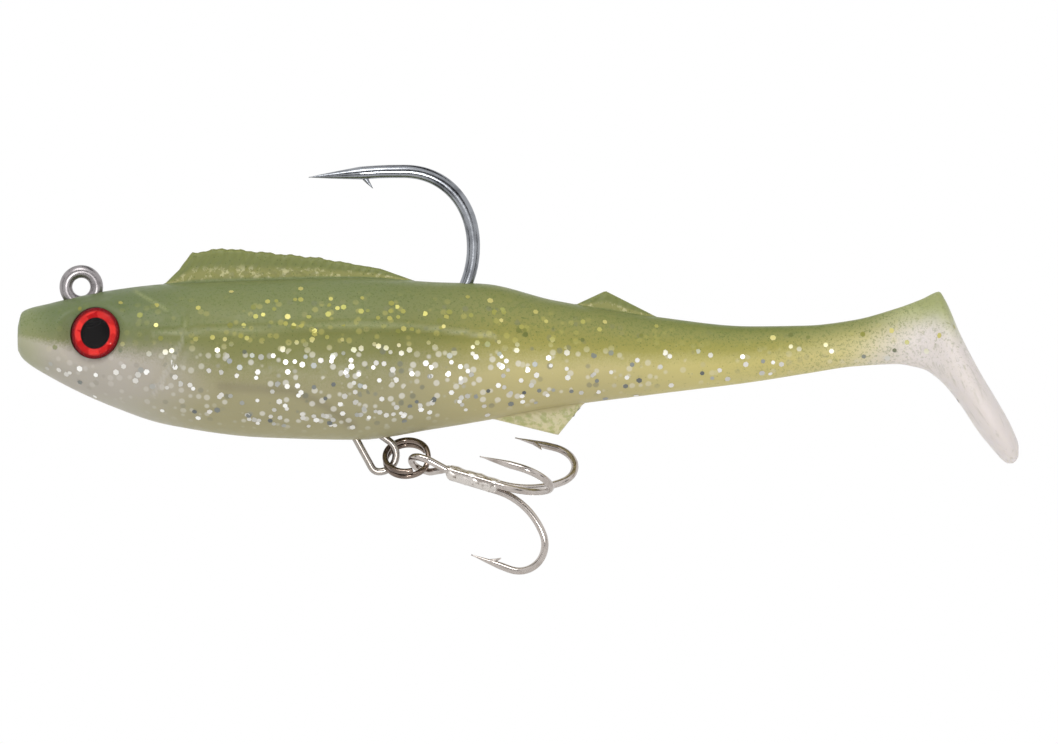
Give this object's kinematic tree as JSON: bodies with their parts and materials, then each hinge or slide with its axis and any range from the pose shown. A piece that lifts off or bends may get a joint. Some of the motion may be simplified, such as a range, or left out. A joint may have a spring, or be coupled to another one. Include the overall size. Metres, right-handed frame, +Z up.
{
  "type": "swimbait",
  "caption": "Pre-rigged soft fishing lure: fish-shaped body over a lead head, a jig hook out of its back, and a treble hook on a ring under its belly.",
  "frame": {"origin": "centre of the hole of the line-tie eye, on the fish's mid-plane", "axes": "+X from the nose towards the tail, +Y out of the fish's right flank, +Z up out of its back; the pictured left flank faces -Y"},
  "size_m": [0.1272, 0.0216, 0.052],
  "materials": {
    "soft_plastic": "translucent soft plastic, green back, pearl belly, glitter",
    "lead": "cast lead alloy, dull",
    "black_nickel": "smoked black nickel on forged high-carbon steel",
    "hanger_wire": "satin spring wire",
    "ring_strip": "dark bronze nickel, polished",
    "treble_wire": "bright nickel plate",
    "braze": "nickel-plated braze, lumpy",
    "adhesive": "clear pressure-sensitive adhesive pad",
    "eye_foil": "red faceted foil with a black printed pupil",
    "eye_dome": "clear epoxy dome"
  },
  "bodies": {
    "body": {"body_front": "soft_plastic", "lead_head": "lead", "jig_hook": "black_nickel", "belly_hanger": "hanger_wire", "eye_left_adhesive": "adhesive", "eye_left_foil": "eye_foil", "eye_left_dome": "eye_dome", "eye_right_adhesive": "adhesive", "eye_right_foil": "eye_foil", "eye_right_dome": "eye_dome"},
    "tail_fore": {"tail_fore": "soft_plastic"},
    "tail_aft": {"tail_aft": "soft_plastic"},
    "paddle": {"paddle_tail": "soft_plastic"},
    "ring": {"split_ring": "ring_strip"},
    "treble": {"treble_double_wire": "treble_wire", "treble_single_prong": "treble_wire", "treble_braze": "braze"}
  },
  "joints": [
    {"name": "tail_root_flex", "type": "hinge", "parent": "body", "child": "tail_fore", "pos_m": [0.076, 0, 0], "axis": [0, 0, 1], "range_deg": [-12, 12], "stiffness_Nm_per_rad": 0.02},
    {"name": "tail_stem_flex", "type": "hinge", "parent": "tail_fore", "child": "tail_aft", "pos_m": [0.091, 0, 0], "axis": [0, 0, 1], "range_deg": [-18, 18], "stiffness_Nm_per_rad": 0.008},
    {"name": "paddle_flex", "type": "hinge", "parent": "tail_aft", "child": "paddle", "pos_m": [0.103, 0, 0], "axis": [0, 0, 1], "range_deg": [-30, 30], "stiffness_Nm_per_rad": 0.004},
    {"name": "ring_swing", "type": "hinge", "parent": "body", "child": "ring", "pos_m": [0.03769, 0, -0.0213], "axis": [0, 1, 0], "range_deg": [0, 68]},
    {"name": "treble_swing", "type": "hinge", "parent": "ring", "child": "treble", "pos_m": [0.04318, -0.00162, -0.02255], "axis": [0.632, 0.5261, 0.569], "range_deg": [-5, 50]}
  ]
}
